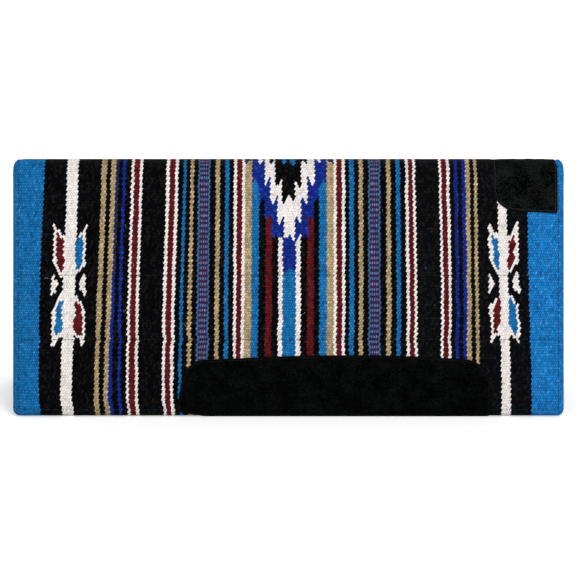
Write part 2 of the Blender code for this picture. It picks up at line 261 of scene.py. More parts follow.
def edge_profile():
    """The outer face of the sewn edge, from the flat face to the hem's end: inset, depth."""
    waist, upper, lower = 0.013, 0.0116, 0.006
    points = []
    # the flat face, which the seam draws in
    for step in range(SEAM_POINT + 1):
        inset = RIM - (RIM - SEAM_INSET) * step / SEAM_POINT
        near = max(0.0, 1 - (inset - SEAM_INSET) / 0.0065)
        points.append((inset, 0.0019 * near * near * (3 - 2 * near)))
    # the round over the felt's edge, then the hem's turn and its end
    for turn in np.linspace(0, math.pi / 2, 25)[1:]:
        inset = SEAM_INSET * (1 - math.sin(turn))
        depth = waist - upper * math.cos(turn)
        depth += 0.0005 * max(0.0, 1 - (SEAM_INSET - inset) / 0.002)
        depth -= 0.0007 * math.exp(-(((inset - 0.0062) / 0.0022) ** 2))
        points.append((inset, depth))
    for turn in np.linspace(0, math.pi / 2, 17)[1:]:
        points.append((lower * (1 - math.cos(turn)), waist + (THICKNESS - waist) * math.sin(turn)))
    points += [(0.0164, THICKNESS), (0.0175, THICKNESS - 0.0004), (0.0180, THICKNESS - 0.0012)]
    return np.array(points + [(0.0182, THICKNESS - 0.0030)])


def line_lengths(line):
    """The distance along a line of points to each of them."""
    return np.concatenate(([0], np.cumsum(np.hypot(*np.diff(line, axis=0).T))))


def along_line(line, length, at):
    """The line's points at these distances along it."""
    return np.column_stack((np.interp(at, length, line[:, 0]), np.interp(at, length, line[:, 1])))


PROFILE = edge_profile()
ARC = line_lengths(PROFILE)
TURNED = float(ARC[-1])


def wrap(a, b):
    """Where the cloth's flat place (a, b) is on the pad: along it, its run and its depth."""
    over_a = np.maximum(np.abs(a) - FLAT_A, 0)
    over_b = np.maximum(b - FLAT_B, 0)
    over = (over_a**CORNER_POWER + over_b**CORNER_POWER) ** (1 / CORNER_POWER)
    reach = RIM - np.interp(over, ARC, PROFILE[:, 0])
    depth = np.interp(over, ARC, PROFILE[:, 1])
    share = reach / np.maximum(over, 1e-9)
    x = np.sign(a) * (np.minimum(np.abs(a), FLAT_A) + over_a * share)
    run = np.minimum(b, FLAT_B) + over_b * share
    return x, run, depth


def bend(x, run, depth):
    """The off half's place in space of a point of the flat pad."""
    turn = np.minimum(run, FOLD_RUN) / FOLD_RADIUS
    beyond = np.maximum(run - FOLD_RUN, 0)
    out = (FOLD_RADIUS - depth) * np.sin(turn) + beyond * math.sin(FLAP_ANGLE)
    up = (FOLD_RADIUS - depth) * np.cos(turn) - beyond * math.cos(FLAP_ANGLE)
    return np.stack((x, -out, FOLD_HEIGHT + up), axis=-1)


def smooth_noise(a, b, size, seed):
    """Smooth noise from -1 to 1 with bumps about `size` across."""
    rng = np.random.default_rng(seed)
    total = np.zeros(a.shape)
    for _ in range(10):
        angle, phase = rng.uniform(0, 2 * math.pi, 2)
        wave = 2 * math.pi / (size * rng.uniform(1.4, 3.2))
        total += np.sin(wave * (a * math.cos(angle) + b * math.sin(angle)) + phase)
    return np.clip(total / 4.5, -1, 1)


def ease(value):
    """0 up to 0, 1 from 1 on and a smooth rise between them."""
    value = np.clip(value, 0, 1)
    return value * value * (3 - 2 * value)


def linked(name, data):
    """A new object in the scene."""
    obj = bpy.data.objects.new(name, data)
    bpy.context.scene.collection.objects.link(obj)
    return obj


def settled_cover():
    """The cover's height over the felt, from a cloth simulation of the pad laid out flat.

    The sewing holds the cloth down along the edge seam, the quilting rows and the spine, and a
    little slack lets it rise and pucker between them. Returns the grid's lines and heights.
    """
    marks = [0, CREST_HOLD, *QUILT_RUNS, HALF_WIDTH - SEAM_INSET]
    half = []
    for low, high in zip(marks, marks[1:]):
        half.append(np.linspace(low, high, int((high - low) / CLOTH_STEP) + 1)[:-1])
    half = np.concatenate(half + [marks[-1:]])
    lines_b = np.concatenate((-half[:0:-1], half))
    reach = HALF_LENGTH - SEAM_INSET
    lines_a = np.linspace(-reach, reach, int(2 * reach / CLOTH_STEP) + 1)
    a, b = np.meshgrid(lines_a, lines_b, indexing="ij")
    wide = len(lines_b)
    corners = np.arange(a.size).reshape(a.shape)[:-1, :-1].ravel()
    quads = np.column_stack((corners, corners + wide, corners + wide + 1, corners + 1))
    mesh = bpy.data.meshes.new("trial_cloth")
    spots = np.column_stack((a.ravel(), b.ravel(), np.zeros(a.size)))
    mesh.from_pydata(spots.tolist(), [], quads.tolist())
    cloth = linked("trial_cloth", mesh)
    held = np.minimum(reach - np.abs(a), HALF_WIDTH - SEAM_INSET - np.abs(b))
    for row in QUILT_RUNS:
        held = np.minimum(held, np.abs(np.abs(b) - row))
    held = np.minimum(held, np.abs(b) - CREST_HOLD)
    pins = cloth.vertex_groups.new(name="sewn")
    pins.add(np.flatnonzero(held.ravel() < 1e-4).tolist(), 1.0, "REPLACE")
    slack = cloth.vertex_groups.new(name="slack")
    share = 0.5 + 0.5 * smooth_noise(a, b, 0.05, 61).ravel()
    for level in range(11):
        slack.add(np.flatnonzero(np.round(share * 10) == level).tolist(), level / 10, "REPLACE")
    modifier = cloth.modifiers.new("cloth", "CLOTH")
    for name, value in CLOTH_SETTINGS.items():
        setattr(modifier.settings, name, value)
    modifier.point_cache.frame_end = CLOTH_FRAMES
    scene = bpy.context.scene
    gravity = tuple(scene.gravity)
    scene.gravity = (0, 0, CLOTH_PULL)
    for frame_now in range(1, CLOTH_FRAMES + 1):
        scene.frame_set(frame_now)
    settled = cloth.evaluated_get(bpy.context.evaluated_depsgraph_get())
    heights = np.zeros(a.size * 3)
    settled.data.vertices.foreach_get("co", heights)
    scene.gravity = gravity
    scene.frame_set(1)
    bpy.data.objects.remove(cloth)
    bpy.data.meshes.remove(mesh)
    return lines_a, lines_b, heights[2::3].reshape(a.shape)


CLOTH_A, CLOTH_B, CLOTH_HEIGHT = settled_cover()


def cloth_height(a, b):
    """The settled cover's height at (a, b), smooth between the grid's lines."""
    near = []
    for place, lines in ((a, CLOTH_A), (b, CLOTH_B)):
        at = np.interp(place, lines, np.arange(len(lines)))
        whole = np.round(at).astype(int)
        t = at - whole
        weights = 0.5 * (0.5 - t) ** 2, 0.75 - t * t, 0.5 * (0.5 + t) ** 2
        near.append([(np.clip(whole + n - 1, 0, len(lines) - 1), weights[n]) for n in range(3)])
    found = np.zeros(a.shape)
    for line_a, weight_a in near[0]:
        for line_b, weight_b in near[1]:
            found += weight_a * weight_b * CLOTH_HEIGHT[line_a, line_b]
    return found


def relief(a, b, side):
    """How far the pad's outer face stands proud of, or lies under, the plain shape."""
    height = cloth_height(a, -b * side) - CLOTH_SINK * ease((b - 0.02) / 0.05)
    height = height * ease((HALF_LENGTH - SEAM_INSET - np.abs(a)) / 0.012)
    height = height * ease((HALF_WIDTH - SEAM_INSET - b) / 0.012)
    for row in QUILT_RUNS:
        drawn = np.cos(math.pi / 2 * np.minimum(np.abs(b - row) / QUILT_REACH, 1)) ** 2
        pucker = 1 + 0.35 * smooth_noise(a, b, 0.016, 22 + side)
        ends = ease((HALF_LENGTH + 0.006 - np.abs(a)) / 0.008)
        height -= QUILT_DEPTH * drawn * pucker * ends
    # the wool is pressed down under the leathers
    front = WITHERS_FRONT - WITHERS_SLANT * (1 - np.clip(b / WITHERS_SHOULDER, 0, 1))
    withers = ease((a - WITHERS_REAR) / 0.002 + 0.6) * ease((front - a) / 0.002 + 1)
    fender = ease((a - FENDER_REAR) / 0.003 + 1) * ease((FENDER_FRONT - a) / 0.003 + 1)
    fender *= ease((b - FENDER_TOP + FENDER_CROWN) / 0.006) * ease((FENDER_LOW - b) / 0.004)
    crest = 1 - ease(b / 0.06)
    height += CREST_RISE * crest * (1 - withers)
    withers = withers * ease((WITHERS_LOW - b) / 0.003 + 1)
    # the seam hardly dips where it crosses the spine
    over = np.abs(a) - FLAT_A
    seam = ease((over - 0.0045) / 0.004) * ease((0.0145 - over) / 0.004)
    height += CREST_SEAM_RISE * seam * (1 - ease(b / 0.03))
    return height - LEATHER_PRESS * np.maximum(withers, fender) - CREST_PRESS * crest * withers


def surface(a, b, height, side):
    """Points of the off half at `height` over the cover's face, and the outward normals."""
    tiny = 2e-4
    along = bend(*wrap(a + tiny, b)) - bend(*wrap(a - tiny, b))
    down = bend(*wrap(a, b + tiny)) - bend(*wrap(a, b - tiny))
    normal = np.cross(down, along)
    normal /= np.maximum(np.linalg.norm(normal, axis=-1, keepdims=True), 1e-12)
    lift = height + relief(a, b, side)
    return bend(*wrap(a, b)) + normal * np.expand_dims(lift, -1), normal


def inside(polygon, a, b):
    """Which of the points lie in the polygon, whose corners are in mm."""
    found = np.zeros(a.shape, bool)
    corners = [(x * MM, y * MM) for x, y in polygon]
    for (x0, y0), (x1, y1) in zip(corners, corners[1:] + corners[:1]):
        if y0 != y1:
            crosses = (b < y0) != (b < y1)
            found ^= crosses & (a < x0 + (b - y0) * (x1 - x0) / (y1 - y0))
    return found


# Making objects


def new_object(name, points, faces, side, material):
    """A mesh object from the off half's points; the near half is its mirror."""
    points = np.array(points, float)
    points[:, 2] = np.maximum(points[:, 2], FLOOR_GAP)
    if side > 0:
        points[:, 1] *= -1
        faces = [face[::-1] for face in faces]
    mesh = bpy.data.meshes.new(name)
    mesh.from_pydata(points.tolist(), [], faces)
    mesh.update()
    mesh.polygons.foreach_set("use_smooth", [True] * len(mesh.polygons))
    mesh.materials.append(material)
    return linked(name, mesh)


def corner_verts(mesh):
    """The vertex of each face's corner."""
    verts = np.zeros(len(mesh.loops), np.int32)
    mesh.loops.foreach_get("vertex_index", verts)
    return verts


def add_uv(obj, name, per_corner):
    layer = obj.data.uv_layers.new(name=name)
    layer.uv.foreach_set("vector", per_corner.astype(np.float32).ravel())


def add_bake_uv(obj, per_vertex):
    add_uv(obj, "OFBake", per_vertex[corner_verts(obj.data)])


def set_attribute(obj, name, kind, domain, key, values):
    attribute = obj.data.attributes.new(name, kind, domain)
    attribute.data.foreach_set(key, values.astype(np.float32).ravel())


def side_name(side):
    return "near" if side > 0 else "off"


# Materials


class Nodes:
    """The nodes of a material or the world. An input takes a value or another node's output."""

    def __init__(self, tree):
        self.tree = tree

    def fill(self, node, inputs):
        for key, value in inputs.items():
            if isinstance(value, bpy.types.NodeSocket):
                self.tree.links.new(value, node.inputs[key])
            else:
                node.inputs[key].default_value = value

    def add(self, kind, inputs, **settings):
        node = self.tree.nodes.new("ShaderNode" + kind)
        for key, value in settings.items():
            setattr(node, key, value)
        self.fill(node, inputs)
        return node

    def maths(self, operation, *values):
        return self.add("Math", dict(enumerate(values)), operation=operation).outputs[0]

    def times(self, first, second):
        return self.maths("MULTIPLY", first, second)

    def linear(self, value, factor, offset):
        """The value times the factor, plus the offset."""
        return self.maths("MULTIPLY_ADD", value, factor, offset)

    def ranged(self, value, low, high, at_low, at_high):
        """From `at_low` to `at_high` while the value goes from `low` to `high`."""
        inputs = dict(enumerate((value, low, high, at_low, at_high)))
        return self.add("MapRange", inputs).outputs[0]

    def mixed(self, factor, first, second, blend="MIX"):
        inputs = {0: factor, 6: first, 7: second}
        return self.add("Mix", inputs, data_type="RGBA", blend_type=blend).outputs[2]

    def noise(self, place, scale, detail=3.0, rough=0.55):
        inputs = {"Vector": place, "Scale": scale, "Detail": detail, "Roughness": rough}
        return self.add("TexNoise", inputs).outputs["Fac"]

    def ramp(self, value, first, last, *between):
        """A colour for each value, from stops of a place and a colour."""
        node = self.add("ValToRGB", {"Fac": value})
        stops = node.color_ramp.elements
        for stop, (place, colour) in zip(stops, (first, last)):
            stop.position, stop.color = place, (*colour, 1)
        for place, colour in between:
            stops.new(place).color = (*colour, 1)
        return node.outputs["Color"]

    def object_place(self):
        return self.add("TexCoord", {}).outputs["Object"]

    def uv(self, name):
        """The two numbers of a UV map."""
        place = self.add("UVMap", {}, uv_map=name).outputs["UV"]
        return self.add("SeparateXYZ", {0: place}).outputs[:2]

    def bump(self, height, distance, strength):
        inputs = {"Height": height, "Distance": distance, "Strength": strength}
        return self.add("Bump", inputs).outputs["Normal"]

    def finish(self, colour, rough, specular, **more):
        """Sets the material's shader. Other inputs are named with _ for a space."""
        shader = self.tree.nodes["Principled BSDF"]
        self.fill(shader, {"Base Color": colour, "Roughness": rough, "Specular IOR Level": specular})
        self.fill(shader, {key.replace("_", " "): value for key, value in more.items()})


def new_material(name):
    material = bpy.data.materials.new(name)
    material.use_nodes = True
    return material, Nodes(material.node_tree)


def woven_material():
    """Wool yarn: each bead's colour, plies with painted highlights, fibres, painted shade in gaps
    and on ridges.
    """
    material, net = new_material("woven_wool")
    dye = net.add("Attribute", {}, attribute_name="dye").outputs
    across, along = net.uv("bead")
    place = net.object_place()
    fibre = net.noise(place, 520.0, 4.0, 0.7)
    coarse = net.noise(place, 260.0, 2.0)
    # plies of the yarn, slanted over the bead: their own two tones and a painted highlight on each
    slant = net.times(net.maths("SUBTRACT", across, along), 3.4)
    slant = net.maths("ADD", slant, net.times(dye["Alpha"], 2 * math.pi))
    slant = net.linear(coarse, 2.2, slant)
    ply = net.linear(net.maths("SINE", net.times(slant, 2.0)), 0.5, 0.5)
    # painted shade darkens the gaps round each bead, less so between pale yarns, and each warp makes
    # a ridge
    wide, long = net.maths("ABSOLUTE", across), net.maths("ABSOLUTE", along)
    edge = net.maths("MAXIMUM", wide, net.linear(wide, 0.75, long))
    paleness = net.add("RGBToBW", {0: dye["Color"]}).outputs[0]
    gap = net.ranged(edge, 0.5, 1.0, 1.0, net.linear(paleness, 0.42, 0.46))
    # a bead whose random number is over 1 shows only as a dot, with painted shade darkening both its
    # ends
    end_shaded_dot = net.maths("FLOOR", dye["Alpha"])
    tips = net.ranged(wide, 0.2, 0.9, 0.0, -0.85)
    gap = net.times(gap, net.linear(end_shaded_dot, tips, 1.0))
    ridge = net.maths("COSINE", net.times(along, 0.8 * 2 * math.pi))
    amount = net.linear(paleness, -1.2, 2.3)
    flecks = net.linear(net.maths("SUBTRACT", fibre, 0.5), amount, 1.0)
    # the plies' tones and painted highlights, times the fibres' flecks
    shade = net.times(net.linear(ply, 0.44, 0.90), flecks)
    # painted shade across each warp's ridge, stronger on dark yarns
    shade = net.times(shade, net.linear(ridge, net.linear(paleness, -0.08, 0.09), 1.0))
    # painted shade in the gaps round each bead
    shade = net.times(shade, gap)
    grey = net.add("CombineColor", {0: shade, 1: shade, 2: shade}).outputs[0]
    colour = net.mixed(1.0, dye["Color"], grey, "MULTIPLY")
    # stray undyed fibres, which show as pale specks on the dark yarns
    speck = net.ranged(net.noise(place, 1500.0, 2.0, 0.6), 0.66, 0.78, 0.0, 0.07)
    colour = net.mixed(speck, colour, (0.42, 0.44, 0.48, 1.0))
    height = net.linear(ridge, 0.25, net.linear(ply, 0.6, net.times(fibre, 0.8)))
    net.finish(colour, net.linear(fibre, 0.14, 0.82), 0.015, Sheen_Weight=0.01,
               Normal=net.bump(height, 0.0007, 0.75))
    return material


def felt_material():
    """Pressed wool: grey heather of light and dark fibres with a soft, uneven face."""
    material, net = new_material("pressed_felt")
    place = net.object_place()
    wander = net.add("TexNoise", {"Vector": place, "Scale": 120.0, "Detail": 2.0}).outputs["Color"]
    wander = net.add("VectorMath", {0: wander, "Scale": 0.012}, operation="SCALE").outputs[0]
    bent_place = net.add("VectorMath", {0: place, 1: wander}, operation="ADD").outputs[0]
    strands = []
    for stretch in ((1.0, 4.0, 4.0), (4.0, 1.0, 1.2)):
        stretched = net.add("Mapping", {"Vector": bent_place, "Scale": stretch}).outputs[0]
        strands.append(net.noise(stretched, 330.0, 4.0, 0.7))
    cloud = net.noise(place, 28.0)
    tone = net.times(net.maths("ADD", *strands), 0.5)
    tone = net.linear(cloud, 0.25, net.maths("SUBTRACT", tone, 0.12))
    colour = net.ramp(tone, (0.36, (0.045, 0.045, 0.048)), (0.66, (0.27, 0.265, 0.255)),
                      (0.5, (0.105, 0.104, 0.104)))
    height = net.maths("ADD", tone, net.times(cloud, 0.8))
    net.finish(colour, net.linear(strands[0], 0.1, 0.88), 0.1, Sheen_Weight=0.2,
               Sheen_Roughness=0.6, Normal=net.bump(height, 0.0012, 0.8))
    return material


def suede_material(name, pale):
    """Black suede: short nap brushed in patches, and a paler rubbed edge."""
    material, net = new_material(name)
    place = net.object_place()
    brushed = net.noise(place, 42.0, 4.0, 0.6)
    nap = net.noise(place, 1100.0, 3.0, 0.7)
    pores = net.noise(place, 420.0, 3.0, 0.6)
    tone = net.linear(pores, 0.9, net.linear(nap, 0.35, net.times(brushed, 0.5)))
    colour = net.ramp(tone, (0.80, (0.0001, 0.0002, 0.0001)), (1.0, pale))
    edge = net.add("Attribute", {}, attribute_name="rubbed").outputs["Fac"]
    worn = net.times(edge, net.linear(nap, 0.9, 0.1))
    colour = net.mixed(worn, colour, (0.014, 0.015, 0.016, 1.0))
    height = net.linear(nap, 0.5, pores)
    net.finish(colour, net.linear(nap, 0.12, 0.84), 0.01, Sheen_Weight=0.005,
               Sheen_Roughness=0.45, Normal=net.bump(height, 0.0005, 0.6))
    return material


def thread_material(name, dark, light, sheen=0.0):
    """Sewing thread: two plies wound round each other."""
    material, net = new_material(name)
    along, round_it = net.uv("thread")
    wound = net.linear(along, 5.0, round_it)
    ply = net.linear(net.maths("SINE", net.times(wound, 2 * math.pi)), 0.5, 0.5)
    fibre = net.noise(net.object_place(), 2200.0, 2.0)
    factor = net.linear(ply, 0.7, net.times(fibre, 0.3))
    net.finish(net.mixed(factor, (*dark, 1), (*light, 1)), net.linear(fibre, 0.2, 0.55), 0.1,
               Sheen_Weight=sheen, Normal=net.bump(ply, 0.0003, 0.7))
    return material


def background_seen(net):
    """1 for the rays that show the background: the camera's, and mirrored and clear ones."""
    paths = net.add("LightPath", {}).outputs
    mirrored = net.maths("MAXIMUM", paths["Is Camera Ray"], paths["Is Glossy Ray"])
    return net.maths("MAXIMUM", mirrored, paths["Is Transmission Ray"])


def floor_material():
    material, net = new_material("pale_floor")
    grain = net.noise(net.object_place(), 60.0)
    colour = net.mixed(grain, (0.90, 0.90, 0.90, 1.0), (0.93, 0.93, 0.93, 1.0))
    net.finish(colour, 0.9, 0.1, Emission_Color=(1.0, 1.0, 1.0, 1.0),
               Emission_Strength=net.times(background_seen(net), 0.26))
    return material


# The woven cover


def pick_places():
    """Where each pick lies along the pad at the crest, and the colour of its stripe."""
    ends = np.cumsum([0] + [width * MM for _, width, _ in STRIPES])
    ends = ends * (2 * HALF_LENGTH / ends[-1]) - HALF_LENGTH
    places, names = [], []
    for (name, _, picks), start, end in zip(STRIPES, ends, ends[1:]):
        places += [start + (end - start) * (pick + 0.5) / picks for pick in range(picks)]
        names += [name] * picks
    extra = int((FLAT_A + TURNED - HALF_LENGTH) / EDGE_PICK) + 1
    before = [places[0] - EDGE_PICK * n for n in range(extra, 0, -1)]
    after = [places[-1] + EDGE_PICK * n for n in range(1, extra + 1)]
    return np.array(before + places + after), ["blue"] * extra + names + ["sky"] * extra


def leaning(a, b):
    """The stripes' drift to front or rear, growing down the flap."""
    place, down = a / MM, b / LEAN_RUN
    moved = np.interp(place, LEAN_AT, LEAN) * ease(down * 0.9 + 0.05)
    moved += np.interp(place, LEAN_AT, BOW) * np.sin(math.pi * np.clip(down, 0, 1)) ** 2
    moved += np.interp(place, LOW_AT, LOW) * ease((b - 0.265) / 0.05)
    quilted = np.exp(-(((b - QUILT_RUNS[1]) / 0.006) ** 2))
    moved += np.interp(place, DRAG_AT, DRAG_QUILT) * quilted
    moved += np.interp(place, DRAG_AT, DRAG_HEM) * ease((b - 0.408) / 0.022)
    return a + moved * MM


def bead_colours(pick, row, a, b, names, rng):
    """The dye of each bead: red, green, blue and a random number, plus 1 where painted shade darkens
    a dot's ends.
    """
    base = np.array([CODE.get(name, -1) for name in names])[pick]
    firsts = [k for k, n in enumerate(names) if n == "multi" and names[k - 1] != "multi"]
    lasts = [k for k, n in enumerate(names) if n == "multi" and names[k + 1] != "multi"]
    for first, last in zip(firsts, lasts):
        in_stripe = (pick >= first) & (pick <= last)
        even = (pick - first) % 2 == 0
        border = (pick < first + 2) | (pick > last - 2)
        base[in_stripe & even] = CODE["purple"]
        base[in_stripe & ~even] = CODE["lilac"]
        base[in_stripe & border] = CODE["steel"]
    high = b - PATTERN_DROP
    for name, line in DIAMOND:
        xs, ys = np.array(line, float).T * MM
        covered = (a >= xs[0]) & (a <= xs[-1]) & (high <= np.interp(a, xs, ys))
        base[covered] = CODE[name]
    wide = a * FEATHER_STRETCH
    for name, outline in FEATHERS:
        trim = FEATHER_TRIM if name == "white" else 0
        base[inside(outline, wide - trim, high) & inside(outline, wide + trim, high)] = CODE[name]
    table = np.array(list(COLOURS.values()))
    dye = table[base]
    count = len(pick)

    def some(share, *colours):
        return np.isin(base, [CODE[n] for n in colours]) & (rng.random(count) < share)

    spread = np.where(some(1, "white"), 0.06, 0.13)
    lot = smooth_noise(a * 3, b * 0.4, 0.02, 5) * 0.04
    dye = dye * (1 + spread * rng.normal(0, 1, count).clip(-1.8, 1.8) + lot)[:, None]
    tans = base == CODE["tan"]
    olive = tans & ((pick % 2 == 0) ^ (rng.random(count) < 0.2))
    dye[olive] *= (0.78, 0.84, 0.90)
    dye[tans & ~olive] *= (1.12, 1.10, 1.22)
    dye[some(0.10, "blue", "sky")] *= (2.4, 1.30, 1.16)
    dye[some(0.12, "blue", "sky")] *= (0.8, 0.74, 0.80)
    dye[some(0.16, "royal", "navy")] *= (1.9, 1.9, 1.45)
    dye[some(0.2, "royal", "navy", "maroon")] *= (0.72, 0.70, 0.68)
    dye[some(0.12, "maroon")] *= (1.35, 1.9, 1.7)
    # the first thin blue stripe is navy over the back and royal lower down
    royal = (ease((b - 0.14) / 0.13) * (base == CODE["navy"]))[:, None]
    dye = dye * (1 - royal) + table[CODE["royal"]] * royal
    dye[some(1, "black") & (a > 0.2)] += (0.0010, 0.0013, 0.0018)
    night = some(0.4, "black")
    nights = int(night.sum())
    dye[night] += rng.uniform(0, 0.002, (nights, 3)) + rng.uniform(0, 0.006, (nights, 1))
    # the many-coloured stripes' bars run from violet to navy, their dots from pink to blue
    bars, dots = base == CODE["purple"], base == CODE["lilac"]
    hue = rng.random(int(row.max()) + 1)[row[bars]][:, None]
    dye[bars] = dye[bars] * (1 - 0.8 * hue) + np.array((0.018, 0.018, 0.062)) * 0.8 * hue
    dye[some(0.3, "lilac")] *= (1.45, 0.95, 1.0)
    dye[some(0.4, "lilac")] *= (0.62, 0.95, 0.98)
    dye[some(0.16, "white")] *= (0.88, 0.865, 0.855)
    # the lilac dots' random number gets 1 more, so the material paints shade at their ends
    return np.column_stack((np.clip(dye, 0, 0.86), rng.random(count) + dots))


def drawn_back(lattice, names):
    """How far, in picks, the beads' tips keep back where they reach into the next stripe."""
    code = np.array([CODE.get(name, len(CODE)) for name in names])
    at = np.clip(lattice[:, 0].astype(int), 1, len(names) - 2)
    before, own, after = code[at - 1], code[at], code[at + 1]

    def share(tip):
        return np.where(own == CODE["black"], 0.3, np.where(tip == CODE["black"], -0.12, 0.15))

    back = np.where((own == before) & (own != after), share(after), 0)
    back -= np.where((own == after) & (own != before), share(before), 0)
    return back * (lattice[:, 2] == 0)


def bead_lattice(last_pick, last_row):
    """The beads' triangles over the lattice of picks and rows.

    Returns the corners as pick, row, 1 on a bead's crown or 0 beside it, and the step along the
    pick, then the triangles, the bead of each, and the pick and row of each bead.
    """
    tip = BEAD_TIP
    verts, triangles, owners, beads = {}, [], [], []

    def vert(pick, row, high, length=0.0):
        return verts.setdefault((pick, row, high, length), len(verts))

    for row in range(last_row):
        for pick in range(1 + (row + 1) % 2, last_pick, 2):
            crown = vert(pick, row, 1)
            ring = [vert(pick + 1, row, 0, tip), vert(pick, row + 1, 0, -tip),
                    vert(pick - 1, row, 0, tip)]
            if row == 0:
                ring = [vert(pick + 1, row, 0), *ring, vert(pick - 1, row, 0)]
            else:
                ring += [vert(pick - 1, row, 0, -tip), vert(pick, row - 1, 0, tip),
                         vert(pick + 1, row, 0, -tip), ring[0]]
            for first, second in zip(ring, ring[1:]):
                triangles.append((second, first, crown))
                owners.append(len(beads))
            beads.append((pick, row))
    lattice = np.array([(pick, row + length, high, length) for pick, row, high, length in verts])
    return lattice, triangles, np.array(owners), np.array(beads)


def make_cover(side, material):
    """One half of the cover: every bead of yarn is a small six-sided swelling."""
    seed = 20 + side
    places, names = pick_places()
    last_row = int((FLAT_B + TURNED) / ROW)
    lattice, triangles, owners, beads = bead_lattice(len(places) - 1, last_row)
    # the twist of the yarn slants each bead: its upper end lies to the rear
    pick_line = np.interp(lattice[:, 0], np.arange(len(places)), places)
    pick_line = pick_line - BEAD_SLANT * np.sign(lattice[:, 3])
    row_line = lattice[:, 1] * ROW
    below = row_line > np.interp(pick_line, *(np.array(DIAMOND[0][1]).T * MM), 0, 0)
    pick_line += EDGE_PICK * drawn_back(lattice, names) * below
    a = leaning(pick_line, row_line)
    free = ease(row_line / 0.03)
    inner = ease((HALF_LENGTH - np.abs(a)) / 0.02)
    a = a + 0.0007 * smooth_noise(a, row_line * 0.5, 0.012, seed + 3) * free * inner
    b = row_line + 0.0009 * smooth_noise(a * 0.5, row_line, 0.014, seed + 4) * free
    uneven = 1 + 0.25 * smooth_noise(a * 3, b * 3, 0.01, seed + 5) * free
    height = np.where(lattice[:, 2] > 0, CROWN_HEIGHT, -BEAD_HEIGHT) * uneven
    points, _ = surface(a, b, height, side)
    obj = new_object(f"cover_{side_name(side)}_half", points, triangles, side, material)
    picks, rows = beads.T
    middle_a = leaning(places[picks], rows * ROW)
    dye = bead_colours(picks, rows, middle_a, rows * ROW, names, np.random.default_rng(seed))
    set_attribute(obj, "dye", "FLOAT_COLOR", "FACE", "color", dye[owners])
    bake = (pick_line / (FLAT_A + TURNED) + 1) / 2, row_line / (last_row * ROW)
    add_bake_uv(obj, 0.01 + 0.98 * np.column_stack(bake))
    # places within each bead, from -1 to 1
    local = lattice[corner_verts(obj.data), :2] - beads[np.repeat(owners, 3)]
    add_uv(obj, "bead", local / (1, 1 - BEAD_TIP))
    return obj


# The felt


def make_felt(side, material):
    """One half of the felt: its bare underside, and the rest hidden in the cover."""
    seed = 50 + side
    inner_rim = 0.020
    span_a, span_b = HALF_LENGTH - inner_rim, HALF_WIDTH - inner_rim
    half_across, along = 85, 82
    top_rings = [(0.016, 0.0043), (0.013, 0.0052), (0.010, 0.0062), (0.0075, 0.0068),
                 (0.0056, 0.0085), (0.0046, 0.0108)]
    under_rings = [(0.0191, THICKNESS), (0.0186, THICKNESS - 0.0005), (0.0185, THICKNESS - 0.0020),
                   (0.0185, 0.0156), (0.0090, 0.0156), (0.0056, 0.0148)]
    widest = (0.0045, 0.0130)
    rings = len(top_rings) + 1
    edge_i, edge_j = half_across + rings, along + rings
    points, faces, index, bake = [], [], {}, []

    def place(i, j, under):
        over_a, over_b = max(abs(i) - half_across, 0), max(j - along, 0)
        ring = max(over_a, over_b)
        key = (i, j, under and ring < rings)
        if key in index:
            return index[key]
        a = max(-1, min(1, i / half_across)) * span_a
        b = min(j / along, 1) * span_b
        depth = THICKNESS if under else COVER_UNDER
        if ring:
            section = under_rings if under else top_rings
            inset, depth = widest if ring == rings else section[ring - 1]
            size = (over_a**CORNER_POWER + over_b**CORNER_POWER) ** (1 / CORNER_POWER)
            a += math.copysign((inner_rim - inset) * over_a / size, i)
            b += (inner_rim - inset) * over_b / size
        index[key] = len(points)
        points.append((a, b, depth))
        v = 0.47 * j / edge_j
        bake.append((0.5 + 0.49 * i / edge_i, 0.01 + v if under else 0.99 - v))
        return index[key]

    for under in (False, True):
        for i in range(-edge_i, edge_i):
            for j in range(edge_j):
                square = [place(i, j, under), place(i + 1, j, under),
                          place(i + 1, j + 1, under), place(i, j + 1, under)]
                faces.append(square if under else square[::-1])
    rim_top = [place(i, 0, False) for i in range(-edge_i, edge_i + 1)]
    faces.append(rim_top + [place(i, 0, True) for i in range(edge_i - 1, -edge_i, -1)])
    a, b, depth = np.array(points).T
    face = bend(a, b, depth)
    outward = (bend(a, b, depth - MM) - face) / MM
    lump = 0.00045 * smooth_noise(a, b, 0.012, seed) + 0.0006 * smooth_noise(a, b, 0.06, seed + 1)
    pinch = np.zeros(len(points))
    for row in QUILT_RUNS:
        off = np.minimum(np.abs(b - row) / QUILT_REACH, 1)
        pinch += QUILT_DEPTH * np.cos(math.pi / 2 * off) ** 2
    away = ease(b / 0.02)
    sag = (lump * away + 0.0004) * ease((FLAT_B - b) / 0.02)
    lift = np.where(depth > THICKNESS - 0.0001, pinch * away - sag, -pinch)
    moved = face + outward * lift[:, None]
    obj = new_object(f"felt_{side_name(side)}_half", moved, faces, side, material)
    add_bake_uv(obj, np.array(bake))
    return obj


# The wear leathers


def rounded_outline(corners, steps=14):
    """A polygon's outline with its corners rounded. Each corner is ((a, b), radius)."""
    points = []
    for k, (spot, radius) in enumerate(corners):
        corner = Vector(spot)
        back = (Vector(corners[k - 1][0]) - corner).normalized()
        ahead = (Vector(corners[(k + 1) % len(corners)][0]) - corner).normalized()
        if radius == 0:
            points.append(tuple(corner))
            continue
        half = back.angle(ahead) / 2
        middle = (back + ahead).normalized()
        centre = corner + middle * (radius / math.sin(half))
        swing = math.pi / 2 - half
        side = 1 if back.cross(ahead) < 0 else -1
        for step in range(steps + 1):
            turn = side * swing * (2 * step / steps - 1)
            arm = Vector((middle.y * math.sin(turn) - middle.x * math.cos(turn),
                          -middle.x * math.sin(turn) - middle.y * math.cos(turn)))
            points.append(tuple(centre + arm * radius))
    return np.array(points)


